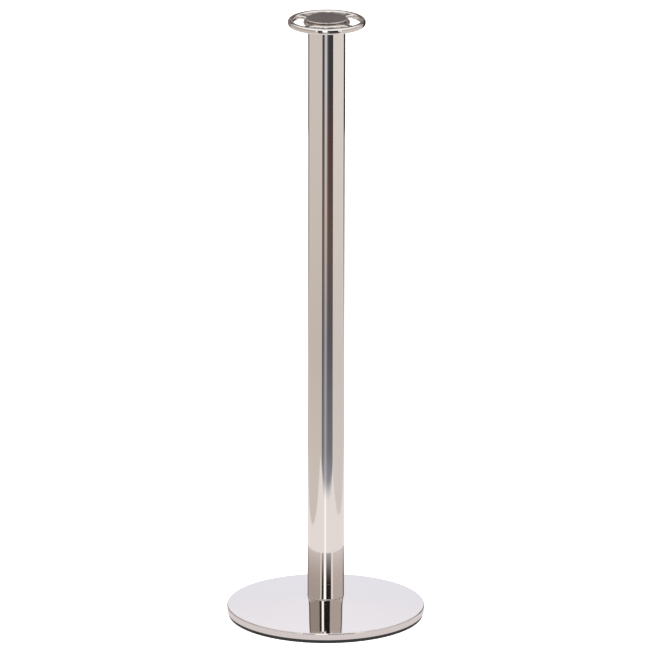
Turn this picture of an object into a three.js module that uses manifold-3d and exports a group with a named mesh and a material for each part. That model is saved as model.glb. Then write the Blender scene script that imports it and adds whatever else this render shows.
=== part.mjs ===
// A free-standing rope barrier post: a round weighted base, a screw-on tube and a flat slotted head
// that four rope hooks can hang from.
//
// Millimetres, +Z up. The origin is on the floor under the middle of the base.
// Bottom to top, the post is built like this:
//   base   floor ring, cast weight, spun cover, and a stud held by a nut above and below
//   glide  a plastic ring in the tube's mouth, which keeps the tube's edge off the cover
//   post   tube with a threaded plug at each end, cast head, and a cap on a stud that clamps the head
import * as THREE from "three";
import { mergeVertices } from "three/addons/utils/BufferGeometryUtils.js";
import Module from "manifold-3d";

const wasm = await Module();
wasm.setup();

// ---------------------------------------------------------------- driving dimensions

const HEIGHT = 1000; // floor to the top of the cap
const TUBE_RADIUS = 30;
const TUBE_WALL = 1.5;
const BASE_RADIUS = 160; // outside of the cover's skirt at its foot
const HEAD_RADIUS = 62.5; // outside of the head's rim
const FIT = 0.2; // room left between pieces that slide or are pressed into each other
const STACK_GAP = 0.1; // room left between pieces that are clamped on top of each other
const FACETS = 60; // sides of every large round piece
const SMALL_FACETS = 36; // sides of studs, washers and their holes

const TUBE_BORE = TUBE_RADIUS - TUBE_WALL;

// base
const RING_HEIGHT = 5.5; // floor ring, under the cover's edge
const SKIRT_FOOT = 6; // height of the cover's lower edge
const SKIRT_TOP = 16; // where the skirt turns into its rounded corner
const SKIRT_LEAN = 1.3; // how far the skirt leans in on the way up
const CORNER_RADIUS = 2.6;
const SEAT = 32; // height of the flat seat that the post stands on
const SEAT_RADIUS = 31.5;
const COVER_SHEET = 1.2;
const WEIGHT_BOTTOM = 5;
const WEIGHT_RADIUS = BASE_RADIUS - 6.7;
const WEIGHT_SHOULDER = 15.4; // height where the weight's side gives way to its top
const WEIGHT_FOOT_RADIUS = BASE_RADIUS - 18.5; // inside the floor ring
const STUD_HOLE = 8.5;
const RECESS_RADIUS = 21;
const RECESS_ROOF = 20.5;

// screw joint between base and post: M16, 2 mm pitch
const STUD_RADIUS = 7.9;
const NUT_ACROSS_FLATS = 24;
const NUT_HEIGHT = 8;
const WASHER_RADIUS = 15;
const WASHER_HEIGHT = 3;
const LOCK_WASHER_HEIGHT = 3.4;
const PLUG_BORE = 8.1;
const FOOT_PLUG_BOTTOM = 46;
const FOOT_PLUG_HEIGHT = 20;

// glide ring
const GLIDE_FLANGE = 0.8;
const GLIDE_RADIUS = 29.6;
const GLIDE_BORE = 26.2;
const GLIDE_SLEEVE_TOP = 41;

// head
const CAP_HEIGHT = 4.2;
const CAP_RADIUS = 32.2;
const CAP_EDGE = 1.9; // thickness of the cap at its edge, above the undercut
const CAP_NECK_RADIUS = 28.6;
const WEB_TOP = HEIGHT - CAP_HEIGHT;
const WEB_THICKNESS = 6;
const WEB_BOTTOM = WEB_TOP - WEB_THICKNESS;
const RIM_WIDTH = 8.4;
const RIM_DEPTH = 10.2;
const RIM_FLAT = 1.6; // narrow flat left along the rim's top and bottom
const HUB_RADIUS = 37.5;
const SLOT_CORNER = 4.6;
const SPOKE_WIDTH = 11;
const COLLAR_BOTTOM = WEB_BOTTOM - 6;
const SPIGOT_BOTTOM = COLLAR_BOTTOM - 8;
const TOP_PLUG_TOP = SPIGOT_BOTTOM - 2;
const TOP_PLUG_HEIGHT = 16;
const CAP_STUD_RADIUS = 5.85;
const CAP_STUD_BORE = 6.05;
const CAP_STUD_CLEARANCE = 6.5; // hole through the head, which the stud passes freely
const CAP_BORE_ROOF = WEB_TOP + 2.6;
const CAP_WASHER_RADIUS = 9.5;
const CAP_WASHER_HEIGHT = 2.5;
const DOWEL_RADIUS = 2.4;
const DOWEL_OFFSET = 18; // from the post's middle
const DOWEL_LENGTH = 14;

// ---------------------------------------------------------------- materials

const finish = (color, metalness, roughness) =>
  new THREE.MeshStandardMaterial({ color, metalness, roughness });
const polished = finish(0xd8d3ce, 1, 0.06);
const satin = finish(0x8d8786, 1, 0.38);
const zinc = finish(0xa9abae, 1, 0.35);
const iron = finish(0x26272a, 0, 0.8);
const rubber = finish(0x141415, 0, 0.75);
const nylon = finish(0xd9d4c8, 0, 0.5);

// ---------------------------------------------------------------- shape helpers

// Solid of revolution about +Z. The profile is a list of [radius, height], counter-clockwise when the
// radius points right and the height up, and it is closed here unless it starts and ends on the axis.
function turned(profile, facets = FACETS) {
  const points = profile.map(([r, z]) => new THREE.Vector2(r, z));
  const [first, last] = [points[0], points[points.length - 1]];
  if (first.x > 0 || last.x > 0) points.push(first.clone());
  return new THREE.LatheGeometry(points, facets).rotateX(Math.PI / 2);
}

// A plain ring or washer between two radii and two heights.
const ring = (inner, outer, low, high, facets = FACETS) =>
  turned([[inner, low], [outer, low], [outer, high], [inner, high]], facets);

// A plain rod on the axis between two heights.
const rod = (radius, low, high, facets = SMALL_FACETS) =>
  turned([[0, low], [radius, low], [radius, high], [0, high]], facets);

// A rod whose ends are chamfered, as a cut stud's are.
const stud = (radius, low, high, chamfer = 1.2) =>
  turned(
    [
      [0, low], [radius - chamfer, low], [radius, low + chamfer],
      [radius, high - chamfer], [radius - chamfer, high], [0, high],
    ],
    SMALL_FACETS,
  );

// A manifold-3d solid from a closed three.js geometry.
function solid(geometry) {
  const bare = geometry.index ? geometry.toNonIndexed() : geometry.clone();
  for (const name of ["normal", "uv"]) bare.deleteAttribute(name);
  const merged = mergeVertices(bare, 1e-4);
  return new wasm.Manifold(
    new wasm.Mesh({
      numProp: 3,
      vertProperties: merged.attributes.position.array,
      triVerts: new Uint32Array(merged.index.array),
    }),
  );
}

// The three.js geometry of a manifold-3d solid.
function geometryOf(made) {
  const mesh = made.getMesh();
  const geometry = new THREE.BufferGeometry();
  geometry.setAttribute("position", new THREE.BufferAttribute(new Float32Array(mesh.vertProperties), 3));
  geometry.setIndex(new THREE.BufferAttribute(new Uint32Array(mesh.triVerts), 1));
  const flat = geometry.toNonIndexed();
  flat.computeVertexNormals();
  return flat;
}

const cut = (from, ...tools) =>
  geometryOf(tools.reduce((left, tool) => left.subtract(solid(tool)), solid(from)));

const join = (...pieces) =>
  geometryOf(pieces.map(solid).reduce((all, piece) => all.add(piece)));

// A chamfered hexagon nut around a bore.
function nut(low, height, bore, acrossFlats = NUT_ACROSS_FLATS) {
  const corner = acrossFlats / Math.sqrt(3);
  const chamfer = corner - acrossFlats / 2;
  const hexagon = new THREE.CylinderGeometry(corner, corner, height, 6)
    .rotateX(Math.PI / 2)
    .translate(0, 0, low + height / 2);
  const rounding = turned(
    [
      [0, low], [acrossFlats / 2, low], [corner, low + chamfer * 0.6],
      [corner, low + height - chamfer * 0.6], [acrossFlats / 2, low + height], [0, low + height],
    ],
    SMALL_FACETS,
  );
  const made = solid(hexagon).intersect(solid(rounding));
  return geometryOf(made.subtract(solid(rod(bore, low - 1, low + height + 1))));
}

// A spring lock washer: a ring with one narrow cut through it.
function lockWasher(inner, outer, low, high) {
  const gap = new THREE.BoxGeometry(outer, 1.6, 4 * (high - low))
    .rotateX(0.35)
    .translate(outer / 2 + inner / 2, 0, (low + high) / 2);
  return cut(ring(inner, outer, low, high, SMALL_FACETS), gap);
}

// ---------------------------------------------------------------- base

// Outer profile of the cover from its flat seat out to the corner: [radius, height].
// The slope is about 6 degrees beside the seat, eases to 5, and steepens towards the edge.
const SEAT_TO_CORNER = [
  [SEAT_RADIUS, SEAT],
  [BASE_RADIUS * 0.37, SEAT - 3.2],
  [BASE_RADIUS * 0.64, SEAT - 6.9],
  [BASE_RADIUS - 14.5, SEAT - 11],
  [BASE_RADIUS - 6, SEAT - 12.5],
];

// The cover's rounded corner and the skirt below it, or the inside of both when inset by the sheet.
function skirt(inset) {
  const middle = [BASE_RADIUS - SKIRT_LEAN - CORNER_RADIUS, SKIRT_TOP];
  const radius = CORNER_RADIUS - inset;
  const arc = [75, 45, 15].map((degrees) => {
    const angle = THREE.MathUtils.degToRad(degrees);
    return [middle[0] + radius * Math.cos(angle), middle[1] + radius * Math.sin(angle)];
  });
  return [...arc, [BASE_RADIUS - inset, SKIRT_FOOT]];
}

const lowered = (profile, drop) => profile.map(([r, z]) => [r, z - drop]);

function baseCover() {
  const outside = [[STUD_HOLE, SEAT], ...SEAT_TO_CORNER, ...skirt(0)];
  const inside = [
    [STUD_HOLE, SEAT - COVER_SHEET],
    ...lowered(SEAT_TO_CORNER, COVER_SHEET),
    ...skirt(COVER_SHEET),
  ];
  return turned([...inside, ...outside.reverse()]);
}

// Cast disc that fills the cover, rebated for the floor ring and recessed for the stud's lower nut.
function baseWeight() {
  const top = lowered(SEAT_TO_CORNER.slice(0, -1), COVER_SHEET + FIT);
  const rebate = RING_HEIGHT + FIT;
  return turned([
    [RECESS_RADIUS, WEIGHT_BOTTOM],
    [WEIGHT_FOOT_RADIUS, WEIGHT_BOTTOM],
    [WEIGHT_FOOT_RADIUS, rebate],
    [WEIGHT_RADIUS, rebate],
    [WEIGHT_RADIUS, WEIGHT_SHOULDER],
    ...top.reverse(),
    [STUD_HOLE, SEAT - COVER_SHEET - FIT],
    [STUD_HOLE, RECESS_ROOF],
    [RECESS_RADIUS, RECESS_ROOF],
  ]);
}

// Rubber ring with an L section: a foot on the floor and a lip between weight and skirt.
function floorRing() {
  const outer = BASE_RADIUS - 2.5;
  const lip = [WEIGHT_RADIUS + 0.6, BASE_RADIUS - 3];
  const lipTop = 12;
  return turned([
    [WEIGHT_FOOT_RADIUS + 0.5, 0], [outer - 1.5, 0], [outer, 1.2], [outer, RING_HEIGHT],
    [lip[1], RING_HEIGHT], [lip[1], lipTop], [lip[0], lipTop], [lip[0], RING_HEIGHT],
    [WEIGHT_FOOT_RADIUS + 0.5, RING_HEIGHT],
  ]);
}

// ---------------------------------------------------------------- head

// Outline of one hook slot, centred on +X: an arc along the rim, an arc along the hub, two straight
// sides parallel to the spokes, and a rounded corner where they meet.
function slotShape() {
  const { asin, cos, sin, PI } = Math;
  const rimSide = HEAD_RADIUS - RIM_WIDTH - SLOT_CORNER; // radii of the corners' centres
  const hubSide = HUB_RADIUS + SLOT_CORNER;
  // angle from the slot's centre line to a corner's centre
  const spread = (r) => PI / 4 - asin((SPOKE_WIDTH / 2 + SLOT_CORNER) / r);
  const outline = new THREE.Path();
  const corner = (r, side, from, to) =>
    outline.absarc(r * cos(spread(r)), side * r * sin(spread(r)), SLOT_CORNER, from, to, false);
  corner(rimSide, 1, spread(rimSide), (3 * PI) / 4);
  corner(hubSide, 1, (3 * PI) / 4, PI + spread(hubSide));
  outline.absarc(0, 0, HUB_RADIUS, spread(hubSide), -spread(hubSide), true);
  corner(hubSide, -1, PI - spread(hubSide), (5 * PI) / 4);
  corner(rimSide, -1, (5 * PI) / 4, 2 * PI - spread(rimSide));
  outline.absarc(0, 0, HEAD_RADIUS - RIM_WIDTH, -spread(rimSide), spread(rimSide), false);
  // neighbouring arcs meet in the same point, which is kept once
  const points = outline.getPoints(3).filter((p, n, all) => p.distanceTo(all.at(n - 1)) > 0.01);
  return new THREE.Shape(points);
}

const hookSlot = (turn) =>
  new THREE.ExtrudeGeometry(slotShape(), { depth: RIM_DEPTH * 2, bevelEnabled: false })
    .translate(0, 0, WEB_BOTTOM - RIM_DEPTH / 2)
    .rotateZ(turn);

// The rim's rounded section, a little deeper than wide, with a narrow flat above and below.
function rimSection() {
  const middle = HEAD_RADIUS - RIM_WIDTH / 2;
  const height = WEB_BOTTOM + WEB_THICKNESS / 2;
  const round = RIM_WIDTH / 2 - RIM_FLAT / 2;
  const side = RIM_DEPTH / 2 - round;
  return [0, 1, 2, 3].flatMap((quadrant) => {
    const right = quadrant === 0 || quadrant === 3 ? 1 : -1;
    const up = quadrant < 2 ? 1 : -1;
    return [0, 45, 90].map((degrees) => {
      const angle = THREE.MathUtils.degToRad(degrees + 90 * quadrant);
      return [
        middle + (right * RIM_FLAT) / 2 + round * Math.cos(angle),
        height + up * side + round * Math.sin(angle),
      ];
    });
  });
}

// Head casting: rim, web with its four hook slots, a collar that sits on the tube and a spigot in it.
function headRing() {
  const spigotRadius = TUBE_BORE - FIT;
  const recess = CAP_WASHER_RADIUS + 0.5;
  const recessFloor = WEB_TOP - CAP_WASHER_HEIGHT - FIT;
  const fillet = 1.5; // where the collar flares into the web
  const body = turned([
    [CAP_STUD_CLEARANCE, SPIGOT_BOTTOM],
    [spigotRadius, SPIGOT_BOTTOM],
    [spigotRadius, COLLAR_BOTTOM],
    [TUBE_RADIUS, COLLAR_BOTTOM],
    [TUBE_RADIUS, WEB_BOTTOM - fillet],
    [TUBE_RADIUS + fillet, WEB_BOTTOM],
    [HEAD_RADIUS - RIM_WIDTH / 2, WEB_BOTTOM],
    [HEAD_RADIUS - RIM_WIDTH / 2, WEB_TOP],
    [recess, WEB_TOP],
    [recess, recessFloor],
    [CAP_STUD_CLEARANCE, recessFloor],
  ]);
  const dowelHole = rod(DOWEL_RADIUS + FIT, SPIGOT_BOTTOM - 1, COLLAR_BOTTOM)
    .translate(DOWEL_OFFSET, 0, 0);
  const slots = [0, 1, 2, 3].map((n) => hookSlot((n * Math.PI) / 2));
  return cut(join(turned(rimSection()), body), ...slots, dowelHole);
}

// Cap with a blind threaded hole; its side leans in towards the hub.
const capDisc = () =>
  turned([
    [0, CAP_BORE_ROOF], [CAP_STUD_BORE, CAP_BORE_ROOF], [CAP_STUD_BORE, WEB_TOP + STACK_GAP],
    [CAP_NECK_RADIUS, WEB_TOP + STACK_GAP], [CAP_RADIUS, HEIGHT - CAP_EDGE], [CAP_RADIUS, HEIGHT - 0.4],
    [CAP_RADIUS - 0.5, HEIGHT],
    [0, HEIGHT],
  ]);

// The dowel stops the head from turning on the tube: it stands in the spigot and in the top plug.
const dowelBottom = SPIGOT_BOTTOM - DOWEL_LENGTH + 6;

const headDowel = () =>
  ring(DOWEL_RADIUS / 2, DOWEL_RADIUS, dowelBottom, dowelBottom + DOWEL_LENGTH, 24)
    .translate(DOWEL_OFFSET, 0, 0);

function topPlug() {
  const hole = rod(DOWEL_RADIUS + FIT, dowelBottom - 1, TOP_PLUG_TOP + 1);
  return cut(
    ring(CAP_STUD_BORE, TUBE_BORE - FIT, TOP_PLUG_TOP - TOP_PLUG_HEIGHT, TOP_PLUG_TOP),
    hole.translate(DOWEL_OFFSET, 0, 0),
  );
}

// ---------------------------------------------------------------- clamped stacks, as bottom heights

const LOWER_WASHER = RECESS_ROOF - STACK_GAP - WASHER_HEIGHT;
const LOWER_LOCK_WASHER = LOWER_WASHER - STACK_GAP - LOCK_WASHER_HEIGHT;
const LOWER_NUT = LOWER_LOCK_WASHER - STACK_GAP - NUT_HEIGHT;
const UPPER_WASHER = SEAT + STACK_GAP;
const UPPER_NUT = UPPER_WASHER + WASHER_HEIGHT + STACK_GAP;
const FLANGE = SEAT + STACK_GAP;
const TUBE_BOTTOM = FLANGE + GLIDE_FLANGE + STACK_GAP;
const CAP_LOCK_WASHER = WEB_TOP - CAP_WASHER_HEIGHT - STACK_GAP;

const flatWasher = (low) => ring(STUD_HOLE, WASHER_RADIUS, low, low + WASHER_HEIGHT, SMALL_FACETS);

const baseStud = () => stud(STUD_RADIUS, LOWER_NUT - 1.5, FOOT_PLUG_BOTTOM + FOOT_PLUG_HEIGHT + 2);

const lowerLockWasher = () =>
  lockWasher(STUD_HOLE, 12.5, LOWER_LOCK_WASHER, LOWER_LOCK_WASHER + LOCK_WASHER_HEIGHT);

const capLockWasher = () =>
  lockWasher(CAP_STUD_CLEARANCE, CAP_WASHER_RADIUS, CAP_LOCK_WASHER, CAP_LOCK_WASHER + CAP_WASHER_HEIGHT);

const capStud = () =>
  stud(CAP_STUD_RADIUS, TOP_PLUG_TOP - TOP_PLUG_HEIGHT + 2, CAP_BORE_ROOF - FIT, 0.8);

// Flange under the tube's edge, with a sleeve that holds the ring in the tube's mouth.
function glideRing() {
  const sleeve = TUBE_BORE - FIT;
  const flangeTop = FLANGE + GLIDE_FLANGE;
  return turned([
    [GLIDE_BORE, FLANGE], [GLIDE_RADIUS, FLANGE], [GLIDE_RADIUS, flangeTop],
    [sleeve, flangeTop], [sleeve, GLIDE_SLEEVE_TOP], [GLIDE_BORE, GLIDE_SLEEVE_TOP],
  ]);
}

const footPlug = () =>
  ring(PLUG_BORE, TUBE_BORE - FIT, FOOT_PLUG_BOTTOM, FOOT_PLUG_BOTTOM + FOOT_PLUG_HEIGHT);

// ---------------------------------------------------------------- assembly

function group(pieces) {
  const made = new THREE.Group();
  for (const [name, geometry, material] of pieces) {
    const mesh = new THREE.Mesh(geometry, material);
    mesh.name = name;
    made.add(mesh);
  }
  return made;
}

const base = group([
  ["floor_ring", floorRing(), rubber],
  ["base_weight", baseWeight(), iron],
  ["base_cover", baseCover(), polished],
  ["base_stud", baseStud(), zinc],
  ["lower_nut", nut(LOWER_NUT, NUT_HEIGHT, PLUG_BORE), zinc],
  ["lower_lock_washer", lowerLockWasher(), zinc],
  ["lower_washer", flatWasher(LOWER_WASHER), zinc],
  ["upper_washer", flatWasher(UPPER_WASHER), zinc],
  ["upper_nut", nut(UPPER_NUT, NUT_HEIGHT, PLUG_BORE), zinc],
]);

const glide = group([["glide_ring", glideRing(), nylon]]);

const post = group([
  ["post_tube", ring(TUBE_BORE, TUBE_RADIUS, TUBE_BOTTOM, COLLAR_BOTTOM - STACK_GAP), polished],
  ["foot_plug", footPlug(), zinc],
  ["top_plug", topPlug(), zinc],
  ["head_dowel", headDowel(), zinc],
  ["head_ring", headRing(), polished],
  ["cap_lock_washer", capLockWasher(), zinc],
  ["cap_stud", capStud(), zinc],
  ["cap_disc", capDisc(), satin],
]);

const stanchion = new THREE.Group();
stanchion.add(base, glide, post);

export default stanchion;
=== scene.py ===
# %% [markdown]
# # A rope barrier post in polished steel
# Posts like this stand in churches, halls and museums, and carry a rope from one to the next.
# A round, heavy foot keeps the post upright. A tube screws onto it, and a flat ring on top has four
# slots for the snap hooks of the ropes.
#
# This lesson makes every piece as a surface worked out with numpy. Almost all of them were turned on a
# lathe, spun or rolled, so a profile carried round the post's axis is the natural way to make them.
# The sizes come from the finished mechanical model, which is loaded first.

# %% Load the mechanical model
import math

import bmesh
import bpy
import numpy as np
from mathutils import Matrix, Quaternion, Vector


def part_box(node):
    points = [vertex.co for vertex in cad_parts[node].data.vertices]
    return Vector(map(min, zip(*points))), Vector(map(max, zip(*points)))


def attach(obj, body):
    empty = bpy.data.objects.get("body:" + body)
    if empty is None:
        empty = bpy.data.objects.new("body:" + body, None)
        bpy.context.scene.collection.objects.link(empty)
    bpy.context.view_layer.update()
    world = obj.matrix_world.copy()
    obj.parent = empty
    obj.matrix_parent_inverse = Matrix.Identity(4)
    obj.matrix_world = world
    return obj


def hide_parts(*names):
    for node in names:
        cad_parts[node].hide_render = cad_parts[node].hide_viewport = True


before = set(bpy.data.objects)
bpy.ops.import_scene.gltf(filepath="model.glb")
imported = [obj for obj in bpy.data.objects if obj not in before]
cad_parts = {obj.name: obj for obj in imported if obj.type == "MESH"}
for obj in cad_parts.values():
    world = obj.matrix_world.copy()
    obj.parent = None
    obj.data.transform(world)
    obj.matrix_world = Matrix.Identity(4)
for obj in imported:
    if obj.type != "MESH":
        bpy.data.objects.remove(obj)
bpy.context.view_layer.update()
print("nodes:", len(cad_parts))

# %% [markdown]
# ## Sizes
# Every size below is in millimetres, and most are read from the mechanical model's pieces, so a change
# there moves the surfaces here as well. Only what the mechanical model leaves out is given here:
# edge roundings, thread depths and the exact curve of the spun cover.


# %% Read the sizes of the pieces
def reach(node):
    """Outer radius, lowest height and highest height of a round piece on the axis, in mm."""
    low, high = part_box(node)
    return high[0] * 1000, low[2] * 1000, high[2] * 1000


tube_radius, tube_bottom, tube_top = reach("post_tube")
base_radius, skirt_foot, seat = reach("base_cover")
head_radius, spigot_bottom, _ = reach("head_ring")
cap_radius, cap_bottom, cap_top = reach("cap_disc")
tube_wall = 1.5
across = [round(2 * radius) for radius in (tube_radius, base_radius, head_radius)]
print("tube, base and head across:", across, "height:", round(cap_top), "mm")

# %% [markdown]
# ## From numbers to a mesh
# A surface is a grid of points: rows run along the profile and columns run round the axis. The faces
# of such a grid always follow the same pattern, so they are worked out as one array of indices. The
# profile runs anticlockwise, with the axis on its left and up towards the top, which makes the faces look
# outwards.


# %% Grids, faces and objects
def grid_faces(rows, columns, rows_close=True, columns_close=True):
    """Four corners of every face: a point, its neighbour round the axis, and both one row further on."""
    index = np.arange(rows * columns).reshape(rows, columns)
    if rows_close:
        index = np.vstack([index, index[:1]])
    if columns_close:
        index = np.hstack([index, index[:, :1]])
    corners = [index[:-1, :-1], index[:-1, 1:], index[1:, 1:], index[1:, :-1]]
    return np.stack(corners, axis=-1).reshape(-1, 4)


def show(name, data):
    """Puts a mesh, a light or a camera into the scene as an object."""
    made = bpy.data.objects.new(name, data)
    bpy.context.scene.collection.objects.link(made)
    return made


def piece(name, points, faces, material, caps=(), sharp=38, outside=False):
    """Makes an object from points in mm and faces. Points that coincide become one, so poles close.
    Edges where the surface turns by more than the given degrees stay crisp."""
    mesh = bpy.data.meshes.new(name)
    mesh.from_pydata((np.asarray(points) * 0.001).tolist(), [], faces.tolist() + [list(c) for c in caps])
    editable = bmesh.new()
    editable.from_mesh(mesh)
    bmesh.ops.remove_doubles(editable, verts=editable.verts, dist=2e-7)
    bmesh.ops.dissolve_degenerate(editable, edges=editable.edges, dist=1e-8)
    loose = [e for e in editable.edges if not e.link_faces]
    bmesh.ops.delete(editable, geom=loose, context="EDGES")
    if outside:
        bmesh.ops.recalc_face_normals(editable, faces=editable.faces)
    open_edges = sum(not e.is_manifold for e in editable.edges)
    editable.to_mesh(mesh)
    editable.free()
    mesh.shade_smooth()
    mesh.set_sharp_from_angle(angle=math.radians(sharp))
    mesh.materials.append(material)
    print(f"{name}: {len(mesh.polygons)} faces, {open_edges} open edges")
    return show(name, mesh)


def stand_for(made, node, body):
    """The piece takes the place of a node of the mechanical model and moves with a body."""
    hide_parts(node)
    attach(made, body)


# %% [markdown]
# ## Rounded profiles
# Real metal has no perfectly sharp edge: each one is broken by a small chamfer or rounding that catches
# the light. The next function takes the corners of a section, each with the radius of its rounding, and
# gives a dense profile back. Just before and after each rounding it leaves one extra point, which keeps
# the shading of the flat stretches flat.


# %% Round the corners of a section
def rounded(corners, closed=True, steps=6, guard=0.25):
    """corners: rows of radius, height and rounding radius. The rounding's centre lies on the line that
    halves the corner's angle, at its radius over the sine of half that angle from the corner."""
    data = np.array(corners, float)
    here, ease = data[:, :2], data[:, 2:]
    back = np.roll(here, 1, axis=0) - here
    ahead = np.roll(here, -1, axis=0) - here
    length_back = np.linalg.norm(back, axis=1, keepdims=True)
    length_ahead = np.linalg.norm(ahead, axis=1, keepdims=True)
    back, ahead = back / length_back, ahead / length_ahead
    half = np.arccos(np.clip((back * ahead).sum(axis=1, keepdims=True), -1, 1)) / 2
    straight = half > math.pi / 2 - 1e-4
    cut = np.where(straight, 0, ease / np.tan(half))
    middle = back + ahead
    middle = middle / np.maximum(np.linalg.norm(middle, axis=1, keepdims=True), 1e-9)
    across = (ahead - back) / np.maximum(np.linalg.norm(ahead - back, axis=1, keepdims=True), 1e-9)
    centre = here + middle * np.where(straight, 0, ease / np.sin(half))
    turn = np.linspace(-1, 1, steps + 1)[None, :, None] * (math.pi / 2 - half)[:, None, :]
    radius = np.where(straight, 0, ease)[:, None, :]
    sideways, inwards = across[:, None, :] * np.sin(turn), middle[:, None, :] * np.cos(turn)
    arc = centre[:, None, :] + radius * (sideways - inwards)
    room_back = np.minimum(cut + guard, length_back * 0.45)
    room_ahead = np.minimum(cut + guard, length_ahead * 0.45)
    before, after = here + back * room_back, here + ahead * room_ahead
    path = np.concatenate([before[:, None], arc, after[:, None]], axis=1)
    if closed:
        return path.reshape(-1, 2)
    return np.vstack([here[:1], path[1:-1].reshape(-1, 2), here[-1:]])


def polar(radius, azimuth, height):
    """Points in space: x is radius times cosine, y is radius times sine and z is the height."""
    return np.stack([radius * np.cos(azimuth), radius * np.sin(azimuth), height + 0 * azimuth], axis=-1)


def around(profile, azimuths):
    """Carries a profile round the axis."""
    return polar(profile[:, :1], azimuths, profile[:, 1:]).reshape(-1, 3)


def turned(name, corners, material, closed=True, segments=256, steps=6, sharp=38):
    """A lathe piece from the corners of its section."""
    profile = rounded(corners, closed, steps)
    azimuths = np.arange(segments) * 2 * math.pi / segments
    faces = grid_faces(len(profile), segments, rows_close=closed)
    return piece(name, around(profile, azimuths), faces, material, sharp=sharp)


# %% [markdown]
# ## Building materials from nodes
# A material is a small network: textures feed the one shader that nearly every real surface can be
# described by. One function adds a node, sets it up and links it, and one function turns a colour as it
# is written for the screen into the linear light that the renderer reckons with.


# %% Colours and nodes
def linear(hex_colour):
    """Turns an sRGB hex colour into linear red, green, blue and alpha."""
    share = np.array([int(hex_colour[k : k + 2], 16) / 255 for k in (0, 2, 4)])
    light = np.where(share <= 0.04045, share / 12.92, ((share + 0.055) / 1.055) ** 2.4)
    return (*light.tolist(), 1.0)


def node(tree, kind, inputs=None, **settings):
    """Adds a node. settings are its own options; inputs are socket values, or sockets to link from."""
    made = tree.nodes.new(kind)
    for option, value in settings.items():
        setattr(made, option, value)
    for socket, value in (inputs or {}).items():
        if isinstance(value, bpy.types.NodeSocket):
            tree.links.new(value, made.inputs[socket])
        else:
            made.inputs[socket].default_value = value
    return made


def new_material(name, colour, metallic, roughness):
    """A material with its shader, and the place on the object that patterns are reckoned from."""
    made = bpy.data.materials.new(name)
    made.use_nodes = True
    tree = made.node_tree
    shader = tree.nodes["Principled BSDF"]
    shader.inputs["Base Color"].default_value = linear(colour)
    shader.inputs["Metallic"].default_value = metallic
    shader.inputs["Roughness"].default_value = roughness
    place = tree.nodes.new("ShaderNodeTexCoord").outputs["Object"]
    return made, tree, shader, place


def per_metre(size_mm):
    """How many features of a size in millimetres fit in a metre, which is what a noise scale counts."""
    return 1000 / size_mm


# %% [markdown]
# ### Mirror-polished stainless steel
# The tube and the cover of the foot are stainless steel that was ground and then buffed on cloth wheels
# until it reflects like a mirror. Its own colour hardly shows: the eye sees the room. What gives it away
# as metal are the faint marks of the buffing wheel, hair-fine and much longer than wide, and a slight
# haze that comes and goes over a hand's width. Both are kept very weak here.
# The marks run round the post, so the noise is squeezed along the axis. Real ones are a few hundredths
# of a millimetre wide; they are drawn at 0.4 mm, the finest that still shows.


# %% Mirror-polished stainless steel
def mirror_polished_stainless():
    """Haze moves the roughness between 0.025 and 0.06, and the marks tilt the shading a little."""
    made, tree, shader, place = new_material("mirror_polished_stainless", "E9E5E1", 1.0, 0.04)
    along = node(tree, "ShaderNodeMapping", {"Vector": place, "Scale": (0.02, 0.02, 1.0)})
    marks = node(
        tree, "ShaderNodeTexNoise",
        {"Vector": along.outputs["Vector"], "Scale": per_metre(0.4), "Detail": 2.0, "Roughness": 0.6},
    )
    haze = node(tree, "ShaderNodeTexNoise", {"Vector": place, "Scale": per_metre(90), "Detail": 3.0})
    rough = node(
        tree, "ShaderNodeMapRange",
        {"Value": haze.outputs["Fac"], "From Min": 0.3, "From Max": 0.7, "To Min": 0.025, "To Max": 0.06},
    )
    relief = node(
        tree, "ShaderNodeBump",
        {"Height": marks.outputs["Fac"], "Strength": 0.02, "Distance": 0.0001},
    )
    tree.links.new(rough.outputs["Result"], shader.inputs["Roughness"])
    tree.links.new(relief.outputs["Normal"], shader.inputs["Normal"])
    return made


# %% [markdown]
# ### Polished and plated casting
# The head is cast, ground smooth, polished and plated. Plating follows every ripple that the grinding
# left, so its reflections wander a little more than those of the tube. A broad, shallow bump gives that.


# %% Polished and plated casting
def plated_casting():
    """Haze moves the roughness between 0.035 and 0.08, and a broad ripple tilts the shading."""
    made, tree, shader, place = new_material("polished_plated_casting", "E6E2DF", 1.0, 0.05)
    ripple = node(tree, "ShaderNodeTexNoise", {"Vector": place, "Scale": per_metre(14), "Detail": 2.0})
    haze = node(tree, "ShaderNodeTexNoise", {"Vector": place, "Scale": per_metre(30), "Detail": 3.0})
    rough = node(
        tree, "ShaderNodeMapRange",
        {"Value": haze.outputs["Fac"], "From Min": 0.3, "From Max": 0.7, "To Min": 0.035, "To Max": 0.08},
    )
    relief = node(
        tree, "ShaderNodeBump",
        {"Height": ripple.outputs["Fac"], "Strength": 0.05, "Distance": 0.0005},
    )
    tree.links.new(rough.outputs["Result"], shader.inputs["Roughness"])
    tree.links.new(relief.outputs["Normal"], shader.inputs["Normal"])
    return made


# %% [markdown]
# ### Satin, lathe-brushed steel
# The cap was held in a lathe against fine abrasive, so its marks are circles round its middle. Light
# spreads across such marks and not along them, which is what the anisotropic setting of the shader does,
# with its tangent running round the axis. The circles themselves are noise of the distance from the axis.


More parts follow.
